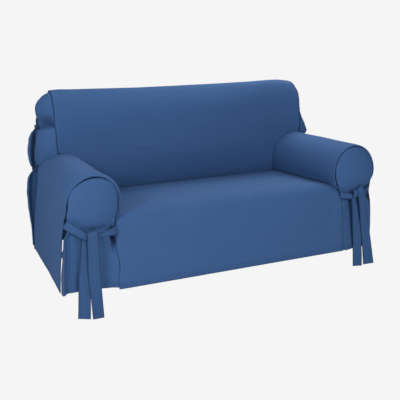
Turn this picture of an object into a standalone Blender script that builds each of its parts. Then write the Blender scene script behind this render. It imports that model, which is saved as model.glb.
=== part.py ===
"""Slipcover for a two-seat sofa with rolled arms, in plain blue cotton duck.

Every panel is one thin closed sheet, and the cover is hollow, as it hangs on a sofa. Metres,
+Z up. The sizes below are read in the sofa's own frame: X to the right seen from the front, with
0 midway between the arms, Y from the front of the arms to the back, and Z up, with the hems at
HEM_Z. ORIGIN is the point of that frame that becomes the origin: the middle of the cover in plan,
level with the tips of the arm ties.
"""

from collections import namedtuple
from math import acos, cos, degrees, pi, radians, sin

import bmesh
import bpy
import numpy as np

# ---------------------------------------------------------------- driving sizes
ORIGIN = (0.0, 0.414, -0.036)
CLOTH = 0.0024  # thickness of the duck, hems included
SEAM = 0.004  # from the middle of one sheet to the edge of the next, so they stay apart
HEM_Z = 0.10

LEFT, RIGHT = -1, 1
SIDE_NAMES = {LEFT: "left", RIGHT: "right"}

ARM_X = 0.697  # middle of each arm roll
ARM_Z = 0.505
ROLL_X = 0.123  # half the width of the roll
ROLL_Z = {LEFT: 0.131, RIGHT: 0.142}  # half its height, on the left and on the right
RIM = 0.009  # the round end piece lies this far inside the roll

BACK_HALF = {LEFT: 0.727, RIGHT: 0.761}  # from the middle to each end of the inside back
TOP_INSET = 0.005  # the end gussets start this far inside those ends
CORNER_IN = {LEFT: 0.0, RIGHT: 0.012}  # how much each end draws in at the ridge
ROLL_REAR = {LEFT: 0.0, RIGHT: 0.020}  # how much each roll widens outwards at its rear
FRONT_EDGE_Y = 0.004  # front edge of the arm panels
SIDE_REAR_Y = 0.805  # rear edge of the side drops, at the corner slits
REAR_EDGE_LEAN = 0.02  # how far back that edge runs for each metre down
BACK_Y = 0.872  # the outside back panel
TUCK_BEHIND_ARM = 0.012  # the inside back runs on behind the end of the arm roll
LOWEST_TUCK = 0.92  # and stops narrowing at this share of the roll's depth below its middle
CROWN = 0.014  # how far the middle of the inside back swells forward
CAP_CORNER = 38  # degrees above the middle where an arm front's top edge meets its sides
FRONT_SWELL = 0.6  # share of a row's crown that the front drop swells forward
DROP_BOW = 0.013  # how far the left edge of the front drop bows inwards
DROP_BOW_Z = 0.205  # at this height
DROP_BOW_REACH = 0.055  # and about this far up and down
DOME = 0.024  # how far the middle of each round end piece swells forward
FRONT_GAP = 0.003  # from the rim of that piece back to the seam
FRONT_HANG = 0.010  # how far forward the drop of the arm front hangs at its hem
RIM_FLARE = 0.007  # the roll's front edge turns outwards by this
RIM_DEPTH = 0.016  # over this distance from the edge
BACK_SAG = 0.006  # how far the middle of the outside back hangs behind its edges
BACK_TOP_IN = 0.015  # how far forward its top edge lies
BACK_HEM_DIP = 0.012  # how far its hem drops at the left corner
BACK_DIP_FROM_Z = 0.40  # from this height down
GUSSET_INSET = 0.010  # the end gussets stand this far inside the roll
GUSSET_REAR_GAP = 0.014  # and their top edge lies this much further in at the rear
GUSSET_LAST_TURN = 158  # where their foot ends, in degrees round the roll
SWEEP_FROM_TURN = 1.5  # the arm's rear edge sweeps back from this far past the foot's start
SWEEP_TO_TURN = 172  # to here
GUSSET_LIFT = 0.008  # how far their foot stands behind the arm panel
SEAT_LAP = 0.002  # the inner arm's edge stands this far above the seam with the seat
ROW_GAP = 0.008  # and its next rows at least this far above the edge
ARM_TUCK = 0.05  # from this far below the middle of the roll
CLOSER_AT_FRONT = 1.25  # power that draws the arm panels' columns together at the front

# Where one shape passes smoothly into the next, from the first value to the second.
Span = namedtuple("Span", "low high")
SEAT_TURNS_DOWN = Span(-0.010, 0.060)  # y
CROWN_STARTS = Span(0.44, 0.60)  # z
CROWN_ENDS = Span(0.84, 0.95)  # z
CORNER_TURNS_IN = Span(0.885, 0.955)  # z
BACK_TOP = Span(0.80, 0.868)  # z
ARM_WIDENS = Span(0.0, 0.45)  # y
HANG = Span(-0.03, 0.28)  # below the round end piece
GATHERED = Span(-0.005, 0.05)  # below the round end piece

# Rows of the inside back: degrees round the arm roll's inner side, then heights above it.
BESIDE_ARM = (-56, -36, -16, 4, 24, 44, 62, 77, 90)
ABOVE_ARM = (0.639, 0.690, 0.745, 0.800, 0.850, 0.890, 0.922, 0.944, 0.956)
ROWS_BEHIND_RIDGE = 7
# Rows of the arm panels: degrees over the roll, from under its inner side, then heights below it.
OVER_ROLL = (-40, -24, -8, 8.0, 24.4, 40.8, 57.2, 73.6, 90.0, 106.4, 122.8, 139.2, 155.6, 180)
BELOW_ROLL = (0.450, 0.390, 0.320, 0.245, 0.170, HEM_Z)

# ---------------------------------------------------------------- tables
# The seat and front drop from the crease to the hem. half is half the panel's width, crown how far
# the middle of the row stands above its ends.
Run = namedtuple("Run", "y z half crown")
SEAT_RUN = [
    Run(0.684, 0.408, 0.626, 0.000),
    Run(0.600, 0.411, 0.622, 0.008),
    Run(0.460, 0.415, 0.616, 0.016),
    Run(0.300, 0.420, 0.608, 0.021),
    Run(0.160, 0.426, 0.603, 0.022),
    Run(0.070, 0.430, 0.600, 0.020),
    Run(0.022, 0.420, 0.599, 0.016),
    Run(-0.004, 0.388, 0.599, 0.008),
    Run(-0.012, 0.340, 0.604, 0.004),
    Run(-0.022, 0.250, 0.609, 0.002),
    Run(-0.034, 0.170, 0.611, 0.000),
    Run(-0.045, HEM_Z - 0.005, 0.611, 0.000),
]

# The inside back from under the crease, over the rounded top, to the seam behind it.
Profile = namedtuple("Profile", "y z")
BACK_RUN = [
    Profile(0.712, 0.388),
    Profile(0.694, 0.412),
    Profile(0.671, 0.460),
    Profile(0.655, 0.555),
    Profile(0.649, 0.660),
    Profile(0.651, 0.760),
    Profile(0.661, 0.845),
    Profile(0.684, 0.905),
    Profile(0.716, 0.944),
    Profile(0.758, 0.960),
    Profile(0.802, 0.951),
    Profile(0.838, 0.924),
    Profile(0.860, 0.886),
    Profile(0.867, 0.862),
]
TOP_STATION = 9  # the row of BACK_RUN at the ridge

# Side edges of the outside back panel, which stand out past the side drops and are drawn in where
# the corner ties hold them.
Edge = namedtuple("Edge", "z left right")
BACK_EDGE = [
    Edge(0.868, 0.730, 0.757),
    Edge(0.850, 0.766, 0.776),
    Edge(0.825, 0.784, 0.790),
    Edge(0.785, 0.795, 0.798),
    Edge(0.757, 0.797, 0.800),
    Edge(0.730, 0.824, 0.822),
    Edge(0.670, 0.846, 0.838),
    Edge(0.603, 0.852, 0.846),
    Edge(0.550, 0.842, 0.842),
    Edge(0.524, 0.828, 0.828),
    Edge(0.498, 0.853, 0.848),
    Edge(0.420, 0.874, 0.862),
    Edge(0.320, 0.876, 0.867),
    Edge(0.200, 0.869, 0.868),
    Edge(HEM_Z, 0.871, 0.870),
]

# Outer side drop of each arm: how far it hangs outside ARM_X at its front edge and at its rear.
Drop = namedtuple("Drop", "z front rear")
SIDE_DROP = {
    LEFT: [
        Drop(0.505, 0.123, 0.123),
        Drop(0.450, 0.130, 0.128),
        Drop(0.380, 0.142, 0.138),
        Drop(0.300, 0.152, 0.150),
        Drop(0.200, 0.166, 0.163),
        Drop(HEM_Z, 0.175, 0.171),
    ],
    RIGHT: [
        Drop(0.505, 0.123, 0.143),
        Drop(0.450, 0.114, 0.146),
        Drop(0.405, 0.099, 0.149),
        Drop(0.330, 0.108, 0.153),
        Drop(0.200, 0.114, 0.160),
        Drop(HEM_Z, 0.112, 0.166),
    ],
}

# How far the hems of both side drops lie above HEM_Z, from front to rear.
Dip = namedtuple("Dip", "y lift")
SIDE_HEM = [
    Dip(0.000, 0.006),
    Dip(0.250, 0.002),
    Dip(0.530, -0.008),
    Dip(0.820, -0.018),
]

# Outline of each arm front below the middle of its round end, as distances from ARM_X.
Outline = namedtuple("Outline", "z outer inner")
FRONT_OUTLINE = {
    LEFT: [
        Outline(0.505, 0.1135, 0.1135),
        Outline(0.460, 0.1125, 0.1090),
        Outline(0.420, 0.1120, 0.0990),
        Outline(0.385, 0.1230, 0.0930),
        Outline(0.345, 0.1360, 0.0940),
        Outline(0.295, 0.1410, 0.0970),
        Outline(0.240, 0.1490, 0.1020),
        Outline(0.170, 0.1590, 0.1080),
        Outline(HEM_Z, 0.1620, 0.1060),
    ],
    RIGHT: [
        Outline(0.505, 0.1135, 0.1135),
        Outline(0.460, 0.1030, 0.1080),
        Outline(0.405, 0.0800, 0.0900),
        Outline(0.360, 0.0840, 0.0860),
        Outline(0.295, 0.0980, 0.0840),
        Outline(0.210, 0.1000, 0.0840),
        Outline(HEM_Z - 0.010, 0.0980, 0.0820),
    ],
}

# Gathers of the drop under the tie: place across the hem from the outer edge (0) to the inner (1),
# depth forwards, and width as a share of the hem.
Gather = namedtuple("Gather", "place forward width")
GATHERS = {
    LEFT: [
        Gather(0.045, 0.014, 0.030),
        Gather(0.115, -0.010, 0.040),
        Gather(0.195, -0.002, 0.035),
        Gather(0.270, -0.010, 0.045),
        Gather(0.420, 0.006, 0.060),
        Gather(0.540, -0.006, 0.050),
        Gather(0.670, -0.006, 0.045),
        Gather(0.850, 0.004, 0.070),
    ],
    RIGHT: [
        Gather(0.100, 0.007, 0.060),
        Gather(0.260, -0.007, 0.060),
        Gather(0.420, 0.005, 0.060),
        Gather(0.600, -0.005, 0.050),
        Gather(0.760, -0.003, 0.060),
        Gather(0.900, 0.003, 0.050),
    ],
}

# How the ridge sags along the cover: the lift of the cloth over the top at x.
Ridge = namedtuple("Ridge", "x lift")
RIDGE = [
    Ridge(-0.727, 0.003),
    Ridge(-0.500, -0.001),
    Ridge(-0.250, -0.006),
    Ridge(0.400, -0.008),
    Ridge(0.680, -0.007),
    Ridge(0.761, -0.016),
]

# Rear edge of each end gusset: distance from the middle at either side, and how far back it lies.
Rear = namedtuple("Rear", "z left right y")
GUSSET_REAR = [
    Rear(0.862, 0.727, 0.758, 0.849),
    Rear(0.845, 0.756, 0.772, 0.851),
    Rear(0.820, 0.774, 0.782, 0.853),
    Rear(0.785, 0.784, 0.788, 0.853),
    Rear(0.757, 0.780, 0.784, 0.850),
    Rear(0.730, 0.794, 0.796, 0.843),
    Rear(0.700, 0.804, 0.808, 0.838),
    Rear(0.650, 0.819, 0.822, 0.828),
    Rear(0.600, 0.825, 0.828, 0.817),
    Rear(0.545, 0.820, 0.826, 0.806),
]

# How far each end gusset puffs out, by place: 0 at its foot, 1 at the crease where the upper corner
# tie draws it in, 2 at the ridge.
PINCH_Z = {LEFT: 0.764, RIGHT: 0.795}  # at the front seam
PINCH_REAR_Z = 0.757  # at the rear edge
Puff = namedtuple("Puff", "place left right")
PUFF = [
    Puff(0.00, 0.000, 0.000),
    Puff(0.05, 0.004, 0.008),
    Puff(0.14, 0.012, 0.040),
    Puff(0.36, 0.028, 0.044),
    Puff(0.62, 0.036, 0.030),
    Puff(0.82, 0.038, 0.020),
    Puff(0.93, 0.030, 0.012),
    Puff(0.98, 0.012, 0.004),
    Puff(1.03, -0.014, -0.006),
    Puff(1.12, -0.010, -0.002),
    Puff(1.25, 0.010, 0.010),
    Puff(1.42, 0.034, 0.022),
    Puff(1.62, 0.048, 0.030),
    Puff(1.80, 0.050, 0.030),
    Puff(1.91, 0.042, 0.024),
    Puff(1.97, 0.028, 0.014),
    Puff(2.00, 0.000, 0.000),
]

# Ties are flat straps. Their stations give the middle of the strap, half its width and the way its
# face looks, as an angle round Z: -90 to the front, 90 to the back, 180 to the left.
Station = namedtuple("Station", "x y z half face")
ARM_TIES = {
    "arm_tie_left_outer": [
        Station(-0.826, -0.006, 0.424, 0.020, -100),
        Station(-0.796, -0.024, 0.399, 0.019, -95),
        Station(-0.768, -0.033, 0.372, 0.016, -90),
        Station(-0.756, -0.037, 0.335, 0.016, -90),
        Station(-0.760, -0.034, 0.270, 0.022, -90),
        Station(-0.767, -0.032, 0.170, 0.026, -90),
        Station(-0.774, -0.033, 0.070, 0.028, -88),
        Station(-0.779, -0.035, -0.010, 0.029, -86),
    ],
    "arm_tie_left_inner": [
        Station(-0.603, -0.022, 0.371, 0.016, -84),
        Station(-0.640, -0.033, 0.362, 0.015, -86),
        Station(-0.688, -0.043, 0.360, 0.015, -90),
        Station(-0.714, -0.052, 0.336, 0.017, -90),
        Station(-0.719, -0.051, 0.280, 0.023, -90),
        Station(-0.717, -0.047, 0.180, 0.024, -91),
        Station(-0.714, -0.044, 0.080, 0.023, -93),
        Station(-0.712, -0.042, -0.035, 0.023, -94),
    ],
    "arm_tie_right_inner": [
        Station(0.606, -0.026, 0.384, 0.015, -92),
        Station(0.632, -0.034, 0.385, 0.014, -90),
        Station(0.662, -0.039, 0.386, 0.013, -90),
        Station(0.682, -0.044, 0.352, 0.014, -90),
        Station(0.690, -0.042, 0.290, 0.020, -90),
        Station(0.695, -0.040, 0.200, 0.025, -91),
        Station(0.702, -0.038, 0.100, 0.028, -92),
        Station(0.709, -0.037, -0.011, 0.029, -92),
    ],
    "arm_tie_right_outer": [
        Station(0.776, -0.012, 0.414, 0.014, -72),
        Station(0.748, -0.034, 0.407, 0.013, -80),
        Station(0.722, -0.047, 0.394, 0.013, -88),
        Station(0.712, -0.054, 0.360, 0.014, -90),
        Station(0.724, -0.053, 0.300, 0.020, -90),
        Station(0.742, -0.049, 0.200, 0.025, -88),
        Station(0.762, -0.046, 0.100, 0.028, -86),
        Station(0.782, -0.044, -0.007, 0.029, -84),
    ],
}

# A corner tie runs from the rear edge of the side round the edge of the outside back panel to its
# knot, and hangs there. reach is measured outwards from the edge of the panel at that height.
Corner = namedtuple("Corner", "reach y drop half face")
CORNER_TIE = [
    Corner(0.007, 0.858, 0.000, 0.006, 175),
    Corner(0.010, 0.872, 0.000, 0.006, 160),
    Corner(0.003, 0.886, -0.001, 0.008, 115),
    Corner(-0.030, 0.890, -0.008, 0.011, 90),
    Corner(-0.046, 0.890, -0.040, 0.012, 90),
    Corner(-0.050, 0.889, -0.100, 0.018, 90),
    Corner(-0.052, 0.888, -0.180, 0.019, 90),
]
# Height of each corner tie, and where it is sewn on.
Sewn = namedtuple("Sewn", "z reach y")
CORNER_TIE_AT = {"upper": Sewn(0.764, -0.007, 0.842), "lower": Sewn(0.526, 0.002, 0.818)}

BLUE = (0.045, 0.100, 0.235, 1.0)
ROUGHNESS = 0.9


# ---------------------------------------------------------------- curves and lookups
def hermite(keys, values, at):
    """Smooth curve through values at rising keys, read at each of at; values may have columns."""
    keys = np.asarray(keys, float)
    values = np.asarray(values, float)
    at = np.clip(np.asarray(at, float), keys[0], keys[-1])
    slope = np.gradient(values, keys, axis=0)
    i = np.clip(np.searchsorted(keys, at, side="right") - 1, 0, len(keys) - 2)
    span = keys[i + 1] - keys[i]
    s = (at - keys[i]) / span
    if values.ndim == 2:
        s, span = s[..., None], span[..., None]
    s2, s3 = s * s, s * s * s
    return (
        (2 * s3 - 3 * s2 + 1) * values[i]
        + (s3 - 2 * s2 + s) * span * slope[i]
        + (3 * s2 - 2 * s3) * values[i + 1]
        + (s3 - s2) * span * slope[i + 1]
    )


def column(table, name):
    return np.array([getattr(row, name) for row in table])


def by_height(table, name, z):
    """A column of a table whose rows go down in z, read at height z."""
    return hermite(column(table, "z")[::-1], column(table, name)[::-1], z)


def chord_keys(points):
    """Distance along a row of points, as keys for hermite."""
    steps = np.linalg.norm(np.diff(points, axis=0), axis=1)
    return np.concatenate([[0.0], np.cumsum(steps)])


def smooth_step(value, low, high):
    t = np.clip((value - low) / (high - low), 0.0, 1.0)
    return t * t * (3 - 2 * t)


BACK_POINTS = np.array(BACK_RUN)
BACK_KEYS = chord_keys(BACK_POINTS)
TOP_KEY = BACK_KEYS[TOP_STATION]
RISE = hermite(BACK_KEYS, BACK_POINTS, np.linspace(0, TOP_KEY, 200))


def back_face_y(z):
    """How far back the face of the inside back lies at height z."""
    return np.interp(z, RISE[:, 1], RISE[:, 0])


def under_back(keys, gap):
    """Points along the inside back's profile, as (y, z), moved by gap to its underside."""
    step = 0.001
    along = hermite(BACK_KEYS, BACK_POINTS, keys + step)
    along -= hermite(BACK_KEYS, BACK_POINTS, keys - step)
    along /= np.linalg.norm(along, axis=1)[:, None]
    inward = np.stack([along[:, 1], -along[:, 0]], axis=-1)
    return hermite(BACK_KEYS, BACK_POINTS, keys) + gap[:, None] * inward


def back_end(side, z):
    """How far the end of the inside back lies from the middle at height z."""
    return BACK_HALF[side] - CORNER_IN[side] * smooth_step(z, *CORNER_TURNS_IN)


def settle(grid):
    """Lowers the cloth over the top by the sag of the ridge."""
    lift = hermite(column(RIDGE, "x"), column(RIDGE, "lift"), grid[..., 0])
    grid[..., 2] += lift * smooth_step(grid[..., 2], *CROWN_ENDS)
    return grid


def seat_z(y):
    """Height of the seat at its side edge."""
    return np.interp(y, column(SEAT_RUN, "y")[6::-1], column(SEAT_RUN, "z")[6::-1])


# ---------------------------------------------------------------- sheets
def material(name):
    made = bpy.data.materials.new(name)
    made.use_nodes = True
    made.diffuse_color = BLUE
    shader = made.node_tree.nodes["Principled BSDF"]
    shader.inputs["Base Color"].default_value = BLUE
    shader.inputs["Roughness"].default_value = ROUGHNESS
    shader.inputs["Metallic"].default_value = 0.0
    return made


def sheet(name, grid):
    """One closed sheet of cloth on a grid of points, rows by columns."""
    rows, columns = grid.shape[:2]
    made = bmesh.new()
    vertices = [made.verts.new(point) for point in (grid - ORIGIN).reshape(-1, 3)]
    for r in range(rows - 1):
        for c in range(columns - 1):
            corner = r * columns + c
            made.faces.new(
                [vertices[corner + k] for k in (0, 1, columns + 1, columns)]
            )
    mesh = bpy.data.meshes.new(name)
    made.to_mesh(mesh)
    made.free()
    mesh.shade_smooth()
    mesh.materials.append(material(name + "_cloth"))
    obj = bpy.data.objects.new(name, mesh)
    bpy.context.scene.collection.objects.link(obj)
    solid = obj.modifiers.new("Cloth", "SOLIDIFY")
    solid.thickness = CLOTH
    solid.offset = 0.0
    solid.use_rim = True
    solid.use_even_offset = True
    return obj


def coons(bottom, top, start, end, rise):
    """Fills a four-sided outline: bottom and top run across, start and end run up by rise."""
    u = np.linspace(0, 1, len(bottom))[None, :, None]
    v = np.asarray(rise)[:, None, None]
    across = (1 - v) * bottom[None] + v * top[None]
    up = (1 - u) * start[:, None] + u * end[:, None]
    corners = (
        (1 - u) * (1 - v) * bottom[0]
        + u * (1 - v) * bottom[-1]
        + (1 - u) * v * top[0]
        + u * v * top[-1]
    )
    return across + up - corners


# ---------------------------------------------------------------- seat and front drop
def seat_and_front(columns=14, rows=19):
    table = np.array(SEAT_RUN)
    keys = chord_keys(table[:, :2])
    run = hermite(keys, table, np.linspace(0, keys[-1], rows + 1))
    u = np.linspace(-1, 1, columns + 1)
    y, z, half, crown = (run[:, k, None] for k in range(4))
    lift = crown * (1 - u[None] ** 4)
    facing_up = smooth_step(y, *SEAT_TURNS_DOWN)
    forward = FRONT_SWELL * lift * (1 - facing_up)
    bow = DROP_BOW * np.exp(-(((z - DROP_BOW_Z) / DROP_BOW_REACH) ** 2)) * ((1 - u[None]) / 2) ** 8
    grid = np.stack([half * u[None] + bow, y - forward, z + lift * facing_up], axis=-1)
    return sheet("seat_and_front", grid)


# ---------------------------------------------------------------- inside back
def inside_back(columns=14):
    reach_x = ROLL_X - TUCK_BEHIND_ARM
    reach_z = ROLL_Z[LEFT] - TUCK_BEHIND_ARM
    beside_arm = ARM_Z + reach_z * np.sin(np.radians(BESIDE_ARM))
    rise_z = np.concatenate([[BACK_RUN[0].z], beside_arm, ABOVE_ARM])
    behind = np.linspace(TOP_KEY, BACK_KEYS[-1], ROWS_BEHIND_RIDGE)
    over = hermite(BACK_KEYS, BACK_POINTS, behind)
    y = np.concatenate([back_face_y(rise_z), over[:, 0]])[:, None]
    z = np.concatenate([rise_z, over[:, 1]])[:, None]
    inside_roll = 1 - np.clip((z - ARM_Z) / reach_z, -LOWEST_TUCK, 1.0) ** 2
    between = ARM_X - reach_x * np.sqrt(inside_roll)
    above = np.arange(len(z))[:, None] > len(beside_arm)
    left, right = (np.where(above, back_end(side, z), between) for side in (LEFT, RIGHT))
    u = np.linspace(0, 1, columns + 1)[None]
    x = -left * (1 - u) + right * u
    crown = CROWN * smooth_step(z, *CROWN_STARTS) * (1 - smooth_step(z, *CROWN_ENDS))
    crown[len(rise_z) :] = 0.0
    between_arms = np.clip(1 - (x / (ARM_X - ROLL_X - 0.01)) ** 2, 0, 1)
    grid = np.stack([x, y - crown * between_arms, z + 0 * u], axis=-1)
    return sheet("inside_back", settle(grid))


# ---------------------------------------------------------------- outside back
def outside_back(columns=12):
    z, left, right = (column(BACK_EDGE, name)[:, None] for name in ("z", "left", "right"))
    u = np.linspace(0, 1, columns + 1)[None]
    across = -left * (1 - u) + right * u
    top = smooth_step(z, *BACK_TOP)
    sag = BACK_SAG * np.sin(pi * u) * (1 - top)
    y = BACK_Y - BACK_TOP_IN * top + sag
    low = 1 - smooth_step(z, HEM_Z, BACK_DIP_FROM_Z)
    z = z - BACK_HEM_DIP * (1 - u) ** 4 * low
    return sheet("outside_back", settle(np.stack([across, y, z + 0 * u], axis=-1)))


# ---------------------------------------------------------------- arm panels
def gusset_roll(side):
    """Half the width of the roll's outer side where the end gusset stands on it."""
    return ROLL_X + ROLL_REAR[side] - GUSSET_INSET


def first_turn(side):
    """Where the gusset starts, in degrees round the roll from its inner side over the top (90)."""
    return 180 - degrees(acos((BACK_HALF[side] - TOP_INSET - ARM_X) / gusset_roll(side)))


def arm_rear_y(side, turn, front_y):
    """Rear edge of the arm panel: at the inside back up to the gusset, then round to the side."""
    behind = smooth_step(turn, first_turn(side) + SWEEP_FROM_TURN, SWEEP_TO_TURN)
    return front_y + (SIDE_REAR_Y - front_y) * behind


def arm_panel(side, columns=10):
    """Inner arm, roll and outer drop. A row runs from front to back, and the rows go over the arm."""
    t = np.linspace(0, 1, columns + 1) ** CLOSER_AT_FRONT
    rows = []
    for turn in OVER_ROLL:
        angle = radians(turn)
        z = ARM_Z + ROLL_Z[side] * sin(angle)
        rear = arm_rear_y(side, turn, back_face_y(z) - SEAM)
        y = FRONT_EDGE_Y + (rear - FRONT_EDGE_Y) * t
        widened = ROLL_REAR[side] * smooth_step(y, *ARM_WIDENS) if turn > 90 else 0.0
        offset = (ROLL_X + widened) * cos(angle)
        rim = RIM_FLARE * np.exp(-((y / RIM_DEPTH) ** 2))
        lift = 0.0
        if turn < 0:
            low = np.clip((ARM_Z - z) / ARM_TUCK, 0, 1)
            floor_z = seat_z(y) + SEAM + SEAT_LAP
            clear = np.maximum(floor_z + ROW_GAP - z, 0) * low
            lift = floor_z - z if turn == OVER_ROLL[0] else clear
        x = side * (ARM_X - offset + rim * cos(angle))
        rows.append(np.stack([x + 0 * y, y, z + lift - rim * sin(angle)], axis=-1))
    for z in BELOW_ROLL:
        rear_y = SIDE_REAR_Y + REAR_EDGE_LEAN * (ARM_Z - z)
        y = FRONT_EDGE_Y + (rear_y - FRONT_EDGE_Y) * t
        front = by_height(SIDE_DROP[side], "front", z)
        rear = by_height(SIDE_DROP[side], "rear", z)
        x = side * (ARM_X + front + (rear - front) * smooth_step(y, *ARM_WIDENS))
        lift = hermite(column(SIDE_HEM, "y"), column(SIDE_HEM, "lift"), y)
        low = smooth_step(ARM_Z - z, 0.0, ARM_Z - HEM_Z)
        rows.append(np.stack([x + 0 * y, y, z + lift * low], axis=-1))
    return sheet("arm_panel_" + SIDE_NAMES[side], np.array(rows))


# ---------------------------------------------------------------- arm fronts
def front_outline(side, edge, rows):
    """The outer or inner edge of an arm front, from the cap corner round the disc to the hem."""
    arc = np.radians(np.linspace(CAP_CORNER, 0, 5)[:-1])
    disc_x, disc_z = ROLL_X - RIM, ROLL_Z[side] - RIM
    points = [(disc_x * cos(a), ARM_Z + disc_z * sin(a)) for a in arc]
    heights = np.linspace(ARM_Z, FRONT_OUTLINE[side][-1].z, 12)
    points += list(zip(by_height(FRONT_OUTLINE[side], edge, heights), heights))
    points = np.array(points)
    keys = chord_keys(points)
    return hermite(keys, points, np.linspace(0, keys[-1], rows + 1))


def front_depth(side, place, offset, z):
    """How far forward the arm front lies: a soft dome on the disc, gathers on the drop."""
    disc_x, disc_z = ROLL_X - RIM, ROLL_Z[side] - RIM
    ring = np.sqrt((offset / disc_x) ** 2 + ((z - ARM_Z) / disc_z) ** 2)
    dome = DOME * np.clip(1 - ring**2.4, 0, 1)
    below = ARM_Z - ROLL_Z[LEFT] + RIM - z
    hang = smooth_step(below, *HANG)
    fold = sum(
        row.forward * np.exp(-(((place - row.place) / row.width) ** 2)) for row in GATHERS[side]
    )
    gather = smooth_step(below, *GATHERED)
    inner = np.clip(16 * place * (1 - place), 0, 1)
    return -FRONT_GAP - dome - FRONT_HANG * hang * inner - fold * gather * inner


def arm_front(side, columns=18, rows=14):
    outer = front_outline(side, "outer", rows)
    inner = front_outline(side, "inner", rows)
    inner[:, 0] *= -1
    arc = np.radians(np.linspace(CAP_CORNER, 180 - CAP_CORNER, columns + 1))
    disc_x, disc_z = ROLL_X - RIM, ROLL_Z[side] - RIM
    top = np.stack([disc_x * np.cos(arc), ARM_Z + disc_z * np.sin(arc)], axis=-1)
    hem = outer[-1] + (inner[-1] - outer[-1]) * np.linspace(0, 1, columns + 1)[:, None]
    flat = coons(top, hem, outer, inner, np.linspace(0, 1, rows + 1))
    place = np.linspace(0, 1, columns + 1)[None]
    offset, z = flat[..., 0], flat[..., 1]
    y = front_depth(side, place, offset, z)
    grid = np.stack([side * (ARM_X + offset), y, z], axis=-1)
    return sheet("arm_front_" + SIDE_NAMES[side], grid)


# ---------------------------------------------------------------- end gussets
def end_gusset(side, columns=9):
    """End panel of the back, from the front seam (start) to the rear edge (end)."""
    name = SIDE_NAMES[side]
    turn = np.linspace(first_turn(side), GUSSET_LAST_TURN, columns + 1)
    foot_x = ARM_X - gusset_roll(side) * np.cos(np.radians(turn))
    foot_z = ARM_Z + (ROLL_Z[side] - GUSSET_INSET) * np.sin(np.radians(turn))
    foot_y = arm_rear_y(side, turn, back_face_y(foot_z)) + GUSSET_LIFT
    foot = np.stack([foot_x, foot_y, foot_z], axis=-1)

    gap = np.linspace(0, GUSSET_REAR_GAP, columns + 1) + SEAM
    crest = under_back(np.linspace(TOP_KEY, BACK_KEYS[-1], columns + 1), gap)
    top = np.stack([back_end(side, crest[:, 1]) - TOP_INSET, crest[:, 0], crest[:, 1]], axis=-1)

    place = column(PUFF, "place")
    heights = [foot_z[0], PINCH_Z[side], crest[0, 1]]
    seam_z = np.interp(place, [0, 1, 2], heights)
    seam_keys = np.interp(seam_z, RISE[:, 1], np.linspace(0, TOP_KEY, len(RISE)))
    seam = under_back(seam_keys, SEAM + 0 * seam_keys)
    seam = np.stack([back_end(side, seam[:, 1]) - TOP_INSET, seam[:, 0], seam[:, 1]], axis=-1)

    heights = [foot_z[-1], PINCH_REAR_Z, crest[-1, 1]]
    rear_z = np.interp(place, [0, 1, 2], heights)
    rear = np.stack(
        [by_height(GUSSET_REAR, name, rear_z), by_height(GUSSET_REAR, "y", rear_z), rear_z],
        axis=-1,
    )
    foot[-1], seam[-1], rear[-1] = rear[0], top[0], top[-1]
    grid = coons(foot, top, seam, rear, place / 2)

    u = np.linspace(0, 1, columns + 1)[None]
    puff = column(PUFF, name)[:, None] * np.sin(pi * u) ** 0.7
    grid[..., 0] = side * (grid[..., 0] + puff)
    return sheet("end_gusset_" + name, settle(grid))


# ---------------------------------------------------------------- ties
def strap(name, stations, lengthwise, across=2):
    """A flat strap along its stations."""
    table = np.array(stations)
    keys = chord_keys(table[:, :3])
    run = hermite(keys, table, np.linspace(0, keys[-1], lengthwise + 1))
    middle = run[:, :3]
    along = np.gradient(middle, axis=0)
    face = np.radians(run[:, 4])
    out = np.stack([np.cos(face), np.sin(face), 0 * face], axis=-1)
    width = np.cross(along, out)
    width /= np.linalg.norm(width, axis=1)[:, None]
    w = np.linspace(-1, 1, across + 1)[None, :, None]
    grid = middle[:, None] + w * run[:, None, 3:4] * width[:, None]
    return sheet(name, grid)


def corner_tie(side, level):
    sewn = CORNER_TIE_AT[level]
    edge = by_height(BACK_EDGE, SIDE_NAMES[side], sewn.z)
    start = Corner(sewn.reach, sewn.y, 0.0, CORNER_TIE[0].half, 180)
    stations = [
        Station(
            side * (edge + row.reach),
            row.y,
            sewn.z + row.drop,
            row.half,
            row.face if side == LEFT else 180 - row.face,
        )
        for row in [start] + CORNER_TIE
    ]
    return strap("corner_tie_" + SIDE_NAMES[side] + "_" + level, stations, 11, across=1)


# ---------------------------------------------------------------- the whole cover
def clear_scene():
    for obj in list(bpy.data.objects):
        bpy.data.objects.remove(obj)


def main():
    clear_scene()
    seat_and_front()
    inside_back()
    outside_back()
    for side in (LEFT, RIGHT):
        arm_panel(side)
        arm_front(side)
        end_gusset(side)
        for level in CORNER_TIE_AT:
            corner_tie(side, level)
    for name, stations in ARM_TIES.items():
        strap(name, stations, 14)


main()
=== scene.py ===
"""Looks of a slipcover for a two-seat sofa: plain blue cotton duck, as it hangs on the sofa.

Each panel is a fine thin sheet on its solid, with its seams, hems, gathers and creases. Sizes are
the solids' own, in the sofa's frame: X to the right seen from the front, Y from the front of the
arms to the back, Z up with the hems at HEM_Z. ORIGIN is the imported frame's origin there.
"""

from collections import namedtuple
from math import acos, cos, degrees, pi, radians, sin

import bpy
import numpy as np
from mathutils import Matrix, Vector

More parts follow.
